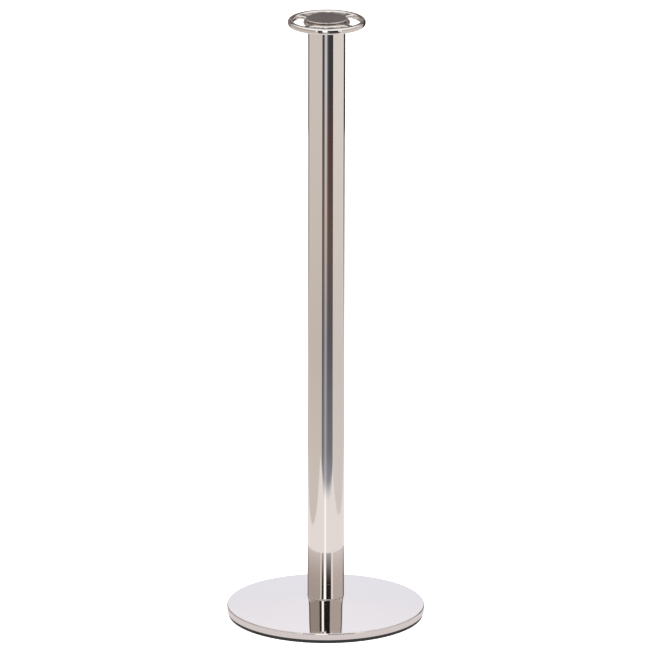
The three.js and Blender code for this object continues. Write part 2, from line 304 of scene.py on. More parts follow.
# %% Satin, lathe-brushed steel
def lathe_brushed_steel():
    """Noise of the distance from the axis gives the circles their colour, roughness and relief."""
    made, tree, shader, place = new_material("lathe_brushed_steel", "8E8A89", 1.0, 0.34)
    flat = node(tree, "ShaderNodeVectorMath", {0: place, 1: (1.0, 1.0, 0.0)}, operation="MULTIPLY")
    radius = node(tree, "ShaderNodeVectorMath", {0: flat.outputs["Vector"]}, operation="LENGTH")
    rings = node(
        tree, "ShaderNodeTexNoise",
        {"W": radius.outputs["Value"], "Scale": per_metre(0.5), "Detail": 4.0, "Roughness": 0.7},
        noise_dimensions="1D",
    )
    rough = node(
        tree, "ShaderNodeMapRange",
        {"Value": rings.outputs["Fac"], "From Min": 0.3, "From Max": 0.7, "To Min": 0.28, "To Max": 0.42},
    )
    tint = node(
        tree, "ShaderNodeMix",
        {"Factor": rings.outputs["Fac"], "A": linear("ABA6A5"), "B": linear("C1BCBB")},
        data_type="RGBA",
    )
    relief = node(
        tree, "ShaderNodeBump",
        {"Height": rings.outputs["Fac"], "Strength": 0.15, "Distance": 0.0001},
    )
    grain = node(tree, "ShaderNodeTangent", direction_type="RADIAL", axis="Z")
    shader.inputs["Anisotropic"].default_value = 0.5
    tree.links.new(rough.outputs["Result"], shader.inputs["Roughness"])
    tree.links.new(tint.outputs["Result"], shader.inputs["Base Color"])
    tree.links.new(relief.outputs["Normal"], shader.inputs["Normal"])
    tree.links.new(grain.outputs["Tangent"], shader.inputs["Tangent"])
    return made


# %% [markdown]
# ### Bright zinc plating
# Nuts, washers, studs and plugs are plain steel with a thin coat of zinc. It is a bluish grey, never
# quite even, and it dulls to a soft sheen, with slightly darker clouds a few millimetres across.


# %% Bright zinc plating
def bright_zinc():
    """Clouds move both the colour and the roughness, and fine pits tilt the shading."""
    made, tree, shader, place = new_material("bright_zinc_plated_steel", "B4B8BD", 1.0, 0.34)
    clouds = node(tree, "ShaderNodeTexNoise", {"Vector": place, "Scale": per_metre(6), "Detail": 5.0})
    tint = node(
        tree, "ShaderNodeMix",
        {"Factor": clouds.outputs["Fac"], "A": linear("9CA1A8"), "B": linear("C9CBCB")},
        data_type="RGBA",
    )
    rough = node(
        tree, "ShaderNodeMapRange",
        {"Value": clouds.outputs["Fac"], "From Min": 0.3, "From Max": 0.7, "To Min": 0.26, "To Max": 0.45},
    )
    pits = node(tree, "ShaderNodeTexNoise", {"Vector": place, "Scale": per_metre(0.4), "Detail": 2.0})
    relief = node(
        tree, "ShaderNodeBump",
        {"Height": pits.outputs["Fac"], "Strength": 0.12, "Distance": 0.0001},
    )
    tree.links.new(tint.outputs["Result"], shader.inputs["Base Color"])
    tree.links.new(rough.outputs["Result"], shader.inputs["Roughness"])
    tree.links.new(relief.outputs["Normal"], shader.inputs["Normal"])
    return made


# %% [markdown]
# ### Black-painted cast iron
# The weight inside the foot is cast in sand and dipped in black paint. The sand leaves a skin of rounded
# grains about a millimetre across, and the paint pools a little between them.


# %% Black-painted cast iron
def painted_cast_iron():
    """The height is 1.5 times the broad waves plus the sand's grains, which also colour the paint."""
    made, tree, shader, place = new_material("black_painted_cast_iron", "1D1E20", 0.0, 0.6)
    sand = node(tree, "ShaderNodeTexNoise", {"Vector": place, "Scale": per_metre(1.1), "Detail": 4.0})
    waves = node(tree, "ShaderNodeTexNoise", {"Vector": place, "Scale": per_metre(12), "Detail": 3.0})
    both = node(
        tree, "ShaderNodeMath", {0: waves.outputs["Fac"], 1: 1.5, 2: sand.outputs["Fac"]},
        operation="MULTIPLY_ADD",
    )
    tint = node(
        tree, "ShaderNodeMix",
        {"Factor": sand.outputs["Fac"], "A": linear("121314"), "B": linear("2B2C2E")},
        data_type="RGBA",
    )
    relief = node(
        tree, "ShaderNodeBump",
        {"Height": both.outputs["Value"], "Strength": 0.6, "Distance": 0.0006},
    )
    tree.links.new(tint.outputs["Result"], shader.inputs["Base Color"])
    tree.links.new(relief.outputs["Normal"], shader.inputs["Normal"])
    return made


# %% [markdown]
# ### Black rubber
# The ring under the foot is moulded in one piece. Rubber is nearly black with a dull, greyish sheen, and
# dust settles on it in faint, paler patches.


# %% Black rubber
def moulded_rubber():
    """Dust blends two near-blacks, and the mould's fine skin tilts the shading."""
    made, tree, shader, place = new_material("black_moulded_rubber", "1A1A1B", 0.0, 0.62)
    skin = node(tree, "ShaderNodeTexNoise", {"Vector": place, "Scale": per_metre(0.6), "Detail": 2.0})
    dust = node(tree, "ShaderNodeTexNoise", {"Vector": place, "Scale": per_metre(25), "Detail": 5.0})
    tint = node(
        tree, "ShaderNodeMix",
        {"Factor": dust.outputs["Fac"], "A": linear("111112"), "B": linear("272627")},
        data_type="RGBA",
    )
    relief = node(
        tree, "ShaderNodeBump",
        {"Height": skin.outputs["Fac"], "Strength": 0.3, "Distance": 0.0002},
    )
    tree.links.new(tint.outputs["Result"], shader.inputs["Base Color"])
    tree.links.new(relief.outputs["Normal"], shader.inputs["Normal"])
    return made


# %% [markdown]
# ### Natural nylon
# The slip ring in the tube's mouth is turned from undyed nylon: ivory, waxy and slightly cloudy.


# %% Natural nylon
def turned_nylon():
    """The turning marks move the roughness between 0.34 and 0.5 and tilt the shading a little."""
    made, tree, shader, place = new_material("natural_turned_nylon", "D9D4C8", 0.0, 0.42)
    along = node(tree, "ShaderNodeMapping", {"Vector": place, "Scale": (0.02, 0.02, 1.0)})
    marks = node(tree, "ShaderNodeTexNoise", {"Vector": along.outputs["Vector"], "Scale": per_metre(0.3)})
    rough = node(
        tree, "ShaderNodeMapRange",
        {"Value": marks.outputs["Fac"], "From Min": 0.3, "From Max": 0.7, "To Min": 0.34, "To Max": 0.5},
    )
    relief = node(
        tree, "ShaderNodeBump",
        {"Height": marks.outputs["Fac"], "Strength": 0.2, "Distance": 0.0001},
    )
    tree.links.new(rough.outputs["Result"], shader.inputs["Roughness"])
    tree.links.new(relief.outputs["Normal"], shader.inputs["Normal"])
    return made


# %% [markdown]
# Every finish is made once, and the pieces share it.

# %% Make the materials
polished = mirror_polished_stainless()
plated = plated_casting()
satin = lathe_brushed_steel()
zinc = bright_zinc()
iron = painted_cast_iron()
rubber = moulded_rubber()
nylon = turned_nylon()
print("materials:", [m.name for m in (polished, plated, satin, zinc, iron, rubber, nylon)])

# %% [markdown]
# ## The tube
# A welded tube, ground and polished so that no seam shows, and cut square at both ends with the burr
# taken off. Four corners make its section: inside and outside, bottom and top.

# %% Turn the tube
tube_bore = tube_radius - tube_wall
tube = turned(
    "post_tube_polished",
    [
        (tube_bore, tube_bottom, 0.4), (tube_radius, tube_bottom, 0.4),
        (tube_radius, tube_top, 0.4), (tube_bore, tube_top, 0.4),
    ],
    polished, segments=384,
)
stand_for(tube, "post_tube", "post")

# %% [markdown]
# ## The cover of the foot
# The cover is spun: a flat disc of sheet is pressed over a turning former with a roller. That gives a
# surface with no corner in it except where the former has one. Its slope is therefore the thing to
# describe, and the height follows by adding the slope up from the middle outwards. It is level where the
# post stands, falls at a gentle, steady slope from there, and bends down a little more towards the edge.
# Then come a tight corner and the skirt, which leans in slightly towards its foot. The sheet's lower edge
# is rounded, and the inner face lies one sheet thickness below the outer one, at right angles to it.

# %% Spin the cover
sheet = 1.2
stud_hole = 8.5
seat_edge = 30.4
corner = 1.6
skirt_top = 15.0
skirt_draft = 0.6


def cover_slope(radius):
    """Fall per millimetre outwards: none under the post, then a steady slope, and a part that grows with
    the square of the distance from where the surface starts to bend down."""
    bend = 0.033 * np.clip((radius - 0.6 * base_radius) / (0.4 * base_radius), 0, None) ** 2
    return np.where(radius > seat_edge, 0.11 + bend, 0)


def cover_outside():
    """The outer face from the stud's hole to the rounded edge. The corner's arc takes over where it has
    the dome's slope, so that the arc's middle lies one corner radius inside the base's radius."""
    edge_angle = math.atan(cover_slope(np.array([base_radius]))[0])
    last = base_radius - corner * (1 - math.sin(edge_angle))
    radius = np.concatenate([[stud_hole, 15, 25, 30], np.linspace(seat_edge, last, 90)])
    fall = np.concatenate([[0], np.cumsum(np.diff(radius) * cover_slope((radius[1:] + radius[:-1]) / 2))])
    dome = np.stack([radius, seat - fall], axis=1)
    start = math.pi / 2 - edge_angle
    angle = np.linspace(start, -math.atan(skirt_draft / (skirt_top - skirt_foot)), 10)
    centre = dome[-1] - corner * np.array([math.cos(start), math.sin(start)])
    bend = centre + corner * np.stack([np.cos(angle), np.sin(angle)], axis=1)
    foot = np.array([base_radius - skirt_draft, skirt_foot + sheet / 2])
    share = np.array([0.06, 0.2, 0.4, 0.6, 0.8, 0.94])[:, None]
    return np.vstack([dome, bend[1:], bend[-1] + (foot - bend[-1]) * share]), foot


def cover_profile():
    """Outer face, rounded lower edge and inner face as one closed loop, anticlockwise."""
    outside, foot = cover_outside()
    along = np.gradient(outside, axis=0)
    along /= np.linalg.norm(along, axis=1, keepdims=True)
    inside = outside + sheet * np.stack([along[:, 1], -along[:, 0]], axis=1)
    angle = np.linspace(0, -math.pi, 9)
    edge = foot - np.array([sheet / 2, 0]) + sheet / 2 * np.stack([np.cos(angle), np.sin(angle)], axis=1)
    return np.vstack([inside, edge[::-1], outside[::-1]])


segments = 384
profile = cover_profile()
azimuths = np.arange(segments) * 2 * math.pi / segments
cover = piece(
    "base_cover_spun", around(profile, azimuths), grid_faces(len(profile), segments), polished, sharp=50
)
stand_for(cover, "base_cover", "base")
print("cover's radius and height:", profile.max(axis=0), "lowest point:", profile[:, 1].min())

# %% [markdown]
# ## What is inside the foot
# The weight is a cast-iron disc that follows the cover from below. Castings have generous roundings,
# because a sharp corner in the sand crumbles. The rubber ring has the section of a letter L: a foot that
# stands on the floor and a lip that is pinched between the weight and the skirt. Two shallow
# grooves in the foot keep it from sliding.

# %% Cast the weight and mould the floor ring
weight_radius, weight_bottom, weight_top = reach("base_weight")
recess = 21.0
recess_roof = 20.5
rebate = 5.7
weight_foot = base_radius - 18.5
weight = turned(
    "base_weight_cast",
    [
        (recess, weight_bottom, 1.2), (weight_foot, weight_bottom, 1.5), (weight_foot, rebate, 0.3),
        (weight_radius, rebate, 1.0), (weight_radius, 14.9, 1.5), (base_radius - 14.5, 17.1, 6),
        (base_radius * 0.64, 22.1, 20), (base_radius * 0.37, 26.9, 20), (36, 29.4, 6),
        (20, weight_top, 3), (stud_hole, weight_top, 0.5), (stud_hole, recess_roof, 0.5),
        (recess, recess_roof, 1.2),
    ],
    iron, segments=192,
)
stand_for(weight, "base_weight", "base")

ring_radius, floor, lip_top = reach("floor_ring")
ring_height = 5.5
groove = 1.2
grooves = [weight_foot + 6, weight_foot + 10.5]
ring_foot = [(weight_foot + 0.5, floor, 0.8)]
for middle in grooves:
    ring_foot += [
        (middle - groove, floor, 0.3), (middle - groove / 2, floor + 0.9, 0.3),
        (middle + groove / 2, floor + 0.9, 0.3), (middle + groove, floor, 0.3),
    ]
floor_ring = turned(
    "floor_ring_rubber",
    ring_foot + [
        (ring_radius, floor, 1.4), (ring_radius, ring_height, 0.5), (base_radius - 3, ring_height, 0.2),
        (base_radius - 3, lip_top, 0.4), (weight_radius + 0.6, lip_top, 0.4),
        (weight_radius + 0.6, ring_height, 0.2), (weight_foot + 0.5, ring_height, 0.6),
    ],
    rubber, segments=256,
)
stand_for(floor_ring, "floor_ring", "base")

# %% [markdown]
# ## The slip ring
# A ring of nylon sits in the tube's mouth, with a thin flange between the tube's edge and the cover. When
# the tube is screwed down, it turns on the flange instead of scratching the polish.

# %% Turn the slip ring
glide_radius, glide_bottom, glide_top = reach("glide_ring")
glide_bore = 26.2
flange_top = glide_bottom + 0.8
sleeve = tube_bore - 0.2
slip_ring = turned(
    "glide_ring_nylon",
    [
        (glide_bore, glide_bottom, 0.2), (glide_radius, glide_bottom, 0.25),
        (glide_radius, flange_top, 0.25), (sleeve, flange_top, 0.15), (sleeve, glide_top, 0.8),
        (glide_bore, glide_top, 0.3),
    ],
    nylon, segments=192,
)
stand_for(slip_ring, "glide_ring", "glide")

# %% [markdown]
# ## Screw threads
# A thread is a ridge that climbs round the rod. At any point, the share of a turn that the ridge has
# made is the height over the pitch, less the azimuth over a full turn. The radius depends on nothing but
# that share: half the pitch rises and falls in a straight line and the rest is nearly flat at the
# crest and the root. On a right-handed thread the ridge climbs as the azimuth grows.


# %% Shape threads
def thread_depth(height, azimuth, pitch):
    """From 0 at the root to 1 at the crest: a triangle wave of the share of a turn, clipped flat."""
    share = (height / pitch - azimuth / (2 * math.pi)) % 1.0
    return np.clip(1.4 * np.abs(2 * share - 1) - 0.2, 0, 1)


def threaded_rod(name, crest, low, high, pitch, material, columns=64, chamfer=1.2):
    """A rod with a thread along its whole length, and chamfered ends closed by their middle points."""
    root = crest - 0.61 * pitch
    height = np.linspace(low, high, int((high - low) / pitch * 12))[:, None]
    azimuth = (np.arange(columns) * 2 * math.pi / columns)[None, :]
    radius = root + (crest - root) * thread_depth(height, azimuth, pitch)
    ends = np.minimum(height - low, high - height)
    radius = np.minimum(radius, crest - chamfer + ends)
    points = polar(radius, azimuth, height)
    bottom = np.tile([0, 0, low], (1, columns, 1))
    top = np.tile([0, 0, high], (1, columns, 1))
    grid = np.concatenate([bottom, points, top])
    faces = grid_faces(len(grid), columns, rows_close=False)
    return piece(name, grid.reshape(-1, 3), faces, material, sharp=50)


def threaded_bore(bore, low, high, pitch, azimuth):
    """A thread cut outwards from the bore's radius, from the top down, with countersunk ends."""
    height = np.linspace(high, low, int((high - low) / pitch * 12))[:, None]
    depth = 0.55 * pitch * (1 - thread_depth(height, azimuth, pitch))
    ends = np.minimum(height - low, high - height)
    radius = bore + np.minimum(depth + np.clip(0.8 - ends, 0, None), 0.55 * pitch)
    return polar(radius, azimuth, height)


def threaded_ring(name, corners, bore, low, high, pitch, material, columns=96):
    """A turned piece with a thread in its bore."""
    azimuth = np.arange(columns) * 2 * math.pi / columns
    outside = around(rounded(corners, closed=False), azimuth).reshape(-1, columns, 3)
    grid = np.concatenate([outside, threaded_bore(bore, low, high, pitch, azimuth)])
    return piece(name, grid.reshape(-1, 3), grid_faces(len(grid), columns), material, sharp=50)


# %% [markdown]
# The foot stud has a coarse thread with a 2 mm pitch, and so has the plug in the tube's foot that screws
# onto it. The thinner stud of the cap has a pitch of 1.75 mm. The rod's root lies 0.61 of the pitch below
# its crest, as on metric threads.

# %% Cut the studs and the foot plug
stud_pitch = 2.0
cap_pitch = 1.75
stud_radius, stud_bottom, stud_top = reach("base_stud")
base_stud = threaded_rod("base_stud_threaded", stud_radius, stud_bottom, stud_top, stud_pitch, zinc)
stand_for(base_stud, "base_stud", "base")

cap_stud_radius, cap_stud_bottom, cap_stud_top = reach("cap_stud")
cap_stud = threaded_rod(
    "cap_stud_threaded", cap_stud_radius, cap_stud_bottom, cap_stud_top, cap_pitch, zinc, chamfer=0.9
)
stand_for(cap_stud, "cap_stud", "post")

thread_bore = 8.1
thread_mouth = thread_bore + 1.1
plug_radius, foot_plug_bottom, foot_plug_top = reach("foot_plug")
foot_plug = threaded_ring(
    "foot_plug_threaded",
    [
        (thread_mouth, foot_plug_bottom, 0), (plug_radius, foot_plug_bottom, 1.0),
        (plug_radius, foot_plug_top, 1.0), (thread_mouth, foot_plug_top, 0),
    ],
    thread_bore, foot_plug_bottom, foot_plug_top, stud_pitch, zinc,
)
stand_for(foot_plug, "foot_plug", "post")

# %% [markdown]
# ## Nuts and washers
# A hexagon nut is a hexagon only between its two chamfers: its end faces are circles. Seen from the
# axis, a hexagon's edge lies at half the width across flats, divided by the cosine of the angle to the
# nearest flat's middle. Where that edge stands out further than the end face's circle, a cone cuts it
# down. A spring washer is a ring with one cut, whose ends stand slightly apart in height.


# %% Shape nuts and washers
def hexagon_nut(name, low, high, across_flats, bore, pitch, material, columns=144):
    """Rows run from the bore along the bottom face, over the chamfer, up the flats and back in."""
    azimuth = np.arange(columns) * 2 * math.pi / columns
    flat = across_flats / 2
    edge = flat / np.cos((azimuth + math.pi / 6) % (math.pi / 3) - math.pi / 6)
    circle = flat * 0.97
    drop = (edge - circle) * math.tan(math.radians(30))
    share = np.array([0, 0.15, 0.5, 0.85, 1])[:, None]
    chamfer = circle + (edge - circle) * share
    fall = drop * share
    level = 0 * azimuth
    face = np.array([bore + 1.2, circle - 0.4])[:, None] + level
    radius = np.vstack([face, chamfer, chamfer[::-1], face[::-1]])
    height = np.vstack([low + 0 * face, low + fall, high - fall[::-1], high + 0 * face])
    grid = np.concatenate([
        polar(radius, azimuth, height), threaded_bore(bore, low, high, pitch, azimuth)
    ])
    return piece(name, grid.reshape(-1, 3), grid_faces(len(grid), columns), material, sharp=25)


def flat_washer(name, node_name, inner, material):
    """A stamped washer: one edge is rounded by the punch, the other is crisp."""
    outer, low, high = reach(node_name)
    corners = [(inner, low, 0.2), (outer, low, 0.2), (outer, high, 0.6), (inner, high, 0.5)]
    return turned(name, corners, material, segments=128)


def split_ring(name, inner, outer, low, high, gap, rise, material, offset=0.0, bevel=0.3):
    """A ring with one gap. Its height rises evenly along it, and flat faces close its two ends."""
    upper = high - rise
    section = rounded(
        [(inner, low, bevel), (outer, low, bevel), (outer, upper, bevel), (inner, upper, bevel)],
        steps=3, guard=0.1,
    )
    share = np.linspace(0, 1, 120)[None, :]
    azimuth = gap / 2 + share * (2 * math.pi - gap)
    radius, height = section[:, :1], section[:, 1:] + rise * share
    points = np.stack([offset + radius * np.cos(azimuth), radius * np.sin(azimuth), height], axis=-1)
    rows, columns = points.shape[:2]
    faces = grid_faces(rows, columns, columns_close=False)
    first = [row * columns for row in range(rows)]
    last = [row * columns + columns - 1 for row in reversed(range(rows))]
    return piece(name, points.reshape(-1, 3), faces, material, caps=(first, last), sharp=40, outside=True)


# %% [markdown]
# The two nuts measure 24 mm across their flats. One spring washer sits under the weight and one under the
# cap. The dowel is a rolled pin, so it is made like a spring washer whose ends stay level.

# %% Make the nuts, the washers and the dowel
across_flats = 24.0
for name in ("lower_nut", "upper_nut"):
    _, low, high = reach(name)
    made = hexagon_nut(f"{name}_hexagon", low, high, across_flats, thread_bore, stud_pitch, zinc)
    stand_for(made, name, "base")
for name in ("lower_washer", "upper_washer"):
    made = flat_washer(f"{name}_stamped", name, stud_hole, zinc)
    stand_for(made, name, "base")

_, lock_bottom, lock_top = reach("lower_lock_washer")
lower_lock = split_ring(
    "lower_lock_washer_split", stud_hole, 12.5, lock_bottom, lock_top, math.radians(9), 0.5, zinc
)
stand_for(lower_lock, "lower_lock_washer", "base")
_, lock_bottom, lock_top = reach("cap_lock_washer")
cap_lock = split_ring(
    "cap_lock_washer_split", 6.5, 9.5, lock_bottom, lock_top, math.radians(11), 0.35, zinc, bevel=0.2
)
stand_for(cap_lock, "cap_lock_washer", "post")

dowel_offset = 18.0
_, dowel_bottom, dowel_top = reach("head_dowel")
dowel = split_ring(
    "head_dowel_rolled", 1.3, 2.4, dowel_bottom, dowel_top, math.radians(30), 0.0, zinc, dowel_offset
)
stand_for(dowel, "head_dowel", "post")

# %% [markdown]
# ## The cap
# The cap is a thin disc with a rounded edge. Below the edge it is cut back in a cone, so that from above
# it seems to float over the head. Its underside has a blind hole for the stud.
# The whole section starts and ends on the axis. The face and the undercut are two different finishes: the
# face is satin and the edge is polished, so the edge's faces get the polished material.

# %% Turn the cap
cap_bore = 6.05
cap_edge = 1.9
cap_neck = 28.6
cap = turned(
    "cap_disc_turned",
    [
        (0, cap_bottom + 2.5, 0), (cap_bore, cap_bottom + 2.5, 0.2), (cap_bore, cap_bottom, 0.3),
        (cap_neck, cap_bottom, 0.3), (cap_radius, cap_top - cap_edge, 0.5), (cap_radius, cap_top, 0.7),
        (0, cap_top, 0),
    ],
    satin, closed=False, segments=320,
)
cap.data.materials.append(plated)
middles = np.empty(len(cap.data.polygons) * 3)
cap.data.polygons.foreach_get("center", middles)
middles = middles.reshape(-1, 3) * 1000
on_edge = np.hypot(middles[:, 0], middles[:, 1]) > cap_radius - 0.75
on_edge |= middles[:, 2] < cap_bottom + 2
cap.data.polygons.foreach_set("material_index", on_edge.astype(np.int32))
stand_for(cap, "cap_disc", "post")

# %% [markdown]
# ## The head
# The head is one casting: a rounded rim, a thinner web with four slots in it, and a collar below that
# sits on the tube. In a mirror finish every dent shows, so joining simple solids with sharp seams
# won't do. The surface is made as a thickness instead: at each place the casting stands a certain
# height above and below its middle plane, and at its edges that height runs out to nothing.
#
# - The rim's half thickness is a rounded arch over the rim's width.
# - The web's half thickness is constant, and rounded off towards the slots' edges.
# - The larger of the two wins, blended by adding their fourth powers, which leaves a fillet between them.
#
# The grid is laid out from the slots. Each line of points leaves a slot's edge at a right angle and runs
# until it meets the outside of the rim, the hub, or the middle of a spoke, where the next slot's lines
# meet it. Points crowd at both ends of a line, where the surface turns over.

# %% Lay out one slot and the metal around it
rim_width, rim_depth = 8.4, 10.2
web_top = cap_bottom - 0.1
web_thickness = 6.0
middle_plane = web_top - web_thickness / 2
rim_inside = head_radius - rim_width
hub_radius = 37.5
hub_circle = hub_radius - 5
slot_corner = 4.6
half_spoke = 5.5


def unit(angle):
    """Unit vectors at the given angles."""
    angle = np.atleast_1d(angle)
    return np.stack([np.cos(angle), np.sin(angle)], axis=1)


def half_slot_edge():
    """Upper half of a slot's outline from the rim's middle to the hub's middle, and its normals. Where
    the rim rounds over, the steps grow with the square of their number, so they are closest there."""
    quarter = math.pi / 4
    square = 3 * quarter  # direction at a right angle to the spoke
    rim_spread = quarter - math.asin((half_spoke + slot_corner) / (rim_inside - slot_corner))
    hub_spread = quarter - math.asin((half_spoke + slot_corner) / (hub_radius + slot_corner))
    rim_centre = (rim_inside - slot_corner) * unit(rim_spread)[0]
    hub_centre = (hub_radius + slot_corner) * unit(hub_spread)[0]
    to_outer = head_radius * unit(quarter)[0] - rim_centre
    to_inner = hub_circle * unit(quarter)[0] - hub_centre
    outer = math.atan2(to_outer[1], to_outer[0])
    inner = math.atan2(to_inner[1], to_inner[0]) % (2 * math.pi)
    rim_angles = np.linspace(0, rim_spread, 18)
    crowded = outer + (square - outer) * np.linspace(0, 1, 37)[1:] ** 2
    rim_corner = np.append(np.linspace(rim_spread, outer, 10)[1:], crowded)
    on_hub = np.linspace(inner, math.pi + hub_spread, 10)[1:]
    hub_corner = np.append(np.linspace(square, inner, 12), on_hub)
    hub_angles = np.linspace(hub_spread, 0, 14)[1:]
    side = np.linspace(rim_centre, hub_centre, 14)[1:-1] + slot_corner * unit(square)
    edge = np.vstack([
        rim_inside * unit(rim_angles), rim_centre + slot_corner * unit(rim_corner), side,
        hub_centre + slot_corner * unit(hub_corner), hub_radius * unit(hub_angles),
    ])
    normal = np.vstack([
        unit(rim_angles), unit(rim_corner), np.repeat(unit(square), len(side), axis=0),
        unit(hub_corner), -unit(hub_angles),
    ])
    return edge, normal


def run_out(edge, normal):
    """Distance from each point along its normal to the rim's outside, the spoke's middle or the hub."""
    along = (edge * normal).sum(axis=1)
    square = (edge**2).sum(axis=1)
    rim = -along + np.sqrt(along**2 - square + head_radius**2)
    diagonal = np.array([-1, 1]) / math.sqrt(2)
    towards = normal @ diagonal
    spoke = np.where(towards > 1e-9, -(edge @ diagonal) / np.maximum(towards, 1e-9), np.inf)
    under = along**2 - square + hub_circle**2
    hub = np.where((under > 0) & (along < 0), -along - np.sqrt(np.maximum(under, 0)), np.inf)
    return np.minimum(np.minimum(rim, spoke), hub)


# %% [markdown]
# ### How thick the head is
# The thickness follows from where a point lies: its distance from the axis tells how far up the rim's arch
# it is, and its distance from the slot's edge tells whether the web is still rounding over.


# %% Give one slot's grid its thickness
def half_thickness(x, y, from_slot):
    """Rim arch and web, blended. The arch is one less the offset from its middle to the power 2.3, all
    to the power 1 / 2.3. The web's edge is a quarter ellipse."""
    radius = np.hypot(x, y)
    offset = np.abs(radius - (head_radius - rim_width / 2)) / (rim_width / 2)
    rim = rim_depth / 2 * np.clip(1 - np.minimum(offset, 1) ** 2.3, 0, 1) ** (1 / 2.3)
    near = np.clip(1 - from_slot / 2.2, 0, 1)
    fade = np.clip((radius - rim_inside) / (rim_width / 2), 0, 1)
    web = web_thickness / 2 * np.sqrt(1 - near**2) * (1 - fade**2 * (3 - 2 * fade))
    return (rim**4 + web**4) ** 0.25


edge, normal = half_slot_edge()
distance = run_out(edge, normal)
share = (1 - np.cos(np.linspace(0, math.pi, 27))) / 2
depth = share[:, None] * distance[None, :]
half = edge[None] + depth[..., None] * normal[None]
half[-1, -1] = (hub_circle, 0)
mirrored = half[:, -2:0:-1] * np.array([1, -1])
quarter_grid = np.concatenate([half, mirrored], axis=1)
quarter_depth = np.concatenate([depth, depth[:, -2:0:-1]], axis=1)
thickness = half_thickness(quarter_grid[..., 0], quarter_grid[..., 1], quarter_depth)
thickness[0] = 0
outside_rim = np.hypot(*quarter_grid[-1].T) > head_radius - 1e-6
thickness[-1, outside_rim] = 0
rows, columns = thickness.shape
print(f"one slot's grid: {rows} by {columns}, thickest {2 * thickness.max():.2f} mm")

# %% [markdown]
# ### From one slot to the whole head
# The same grid is turned by a quarter three times, and each is used twice: once above the middle plane
# and once, turned over, below it. The hub, the collar and the spigot in the tube's mouth are a turned
# piece whose columns stand exactly at the grid's last points, so everything closes.

# %% Assemble the head
collar_bottom = tube_top + 0.1
collar_top = middle_plane - web_thickness / 2
recess_radius = 10.0
stud_clearance = 6.5
points, faces, start = [], [], 0
for quarter in range(4):
    cosine, sine = math.cos(quarter * math.pi / 2), math.sin(quarter * math.pi / 2)
    x = quarter_grid[..., 0] * cosine - quarter_grid[..., 1] * sine
    y = quarter_grid[..., 0] * sine + quarter_grid[..., 1] * cosine
    for side in (1, -1):
        points.append(np.stack([x, y, middle_plane + side * thickness], axis=-1).reshape(-1, 3))
        around_slot = grid_faces(rows, columns, rows_close=False) + start
        faces.append(around_slot if side == 1 else around_slot[:, ::-1])
        start += rows * columns

on_hub = np.hypot(*quarter_grid[-1].T) < hub_circle + 1e-6
hub_angles = np.arctan2(quarter_grid[-1, on_hub, 1], quarter_grid[-1, on_hub, 0])
turns = np.arange(4)[:, None] * math.pi / 2
hub_azimuths = np.unique(np.round((hub_angles[None] + turns) % (2 * math.pi), 8))
hub_profile = rounded(
    [
        (hub_circle, web_top, 0), (recess_radius, web_top, 0.3),
        (recess_radius, lock_bottom - 0.2, 0.3), (stud_clearance, lock_bottom - 0.2, 0.2),
        (stud_clearance, spigot_bottom, 0.6), (sleeve, spigot_bottom, 1.0),
        (sleeve, collar_bottom, 0.3), (tube_radius, collar_bottom, 0.4),
        (tube_radius, collar_top, 1.6), (hub_circle, collar_top, 0),
    ],
    closed=False,
)
points.append(around(hub_profile, hub_azimuths))
faces.append(grid_faces(len(hub_profile), len(hub_azimuths), rows_close=False) + start)
head = piece(
    "head_ring_casting", np.vstack(points), np.vstack(faces), plated, sharp=75, outside=True
)


# %% [markdown]
# ### The dowel's hole and the plug under the head
# The dowel sits in a hole through the spigot and the plug below it, a little larger than the pin. A plain
# cylinder is taken away from both with a Boolean.


# %% Drill the head and make the top plug
def drill(made, radius, low, high):
    """Cuts the dowel's hole with a Boolean and applies it, so only the finished mesh stays."""
    azimuth = np.arange(32) * 2 * math.pi / 32
    corners = np.array([(0, low), (radius, low), (radius, high), (0, high)])
    shift = np.array([dowel_offset, 0, 0])
    tool = piece("drill", around(corners, azimuth) + shift, grid_faces(4, 32, rows_close=False), zinc)
    cut = made.modifiers.new("dowel hole", "BOOLEAN")
    cut.operation, cut.solver, cut.object = "DIFFERENCE", "EXACT", tool
    graph = bpy.context.evaluated_depsgraph_get()
    drilled = bpy.data.meshes.new_from_object(made.evaluated_get(graph))
    made.modifiers.clear()
    made.data = drilled
    bpy.data.objects.remove(tool)


dowel_hole = 2.6
drill(head, dowel_hole, spigot_bottom - 1, collar_bottom)
stand_for(head, "head_ring", "post")

top_plug_radius, top_plug_bottom, top_plug_top = reach("top_plug")
top_plug = threaded_ring(
    "top_plug_threaded",
    [
        (7.0, top_plug_bottom, 0), (top_plug_radius, top_plug_bottom, 1.0),
        (top_plug_radius, top_plug_top, 1.0), (7.0, top_plug_top, 0),
    ],
    cap_bore, top_plug_bottom, top_plug_top, cap_pitch, zinc,
)
drill(top_plug, dowel_hole, dowel_bottom - 1, top_plug_top + 1)
stand_for(top_plug, "top_plug", "post")

# %% [markdown]
# ## The studio
# A mirror shows its surroundings, so lighting polished metal means building the surroundings. A
# photographer lays sheets and stands cards around the post, just outside the picture. Each one becomes a
# bright or dark stripe in the tube: a card's direction from the post sets the stripe's place across the
# tube, and its distance sets how high on the tube it ends.
#
# Here one room shell holds them all. It is a polar grid of glowing faces: floor, wall and ceiling, and two
# nearer rings of cards on stands with a gap between them. Through the gap, the image of the tube in the
# cover shows a further strip of cards. Only reflections and soft light see the room. The picture's own
# background is a second, plain pale floor that reflections don't see. Close to the foot the room's floor
# is left plain and light, so the skirt shows one even tone.

# %% Directions in the room and blends of colours
camera_azimuth = math.radians(-4)
towards_camera = np.array([math.sin(camera_azimuth), -math.cos(camera_azimuth)])
to_the_right = np.array([math.cos(camera_azimuth), math.sin(camera_azimuth)])
mirror_start, mirror_end = 0.207, 0.385
room_radius, room_height = 6.0, 4.5


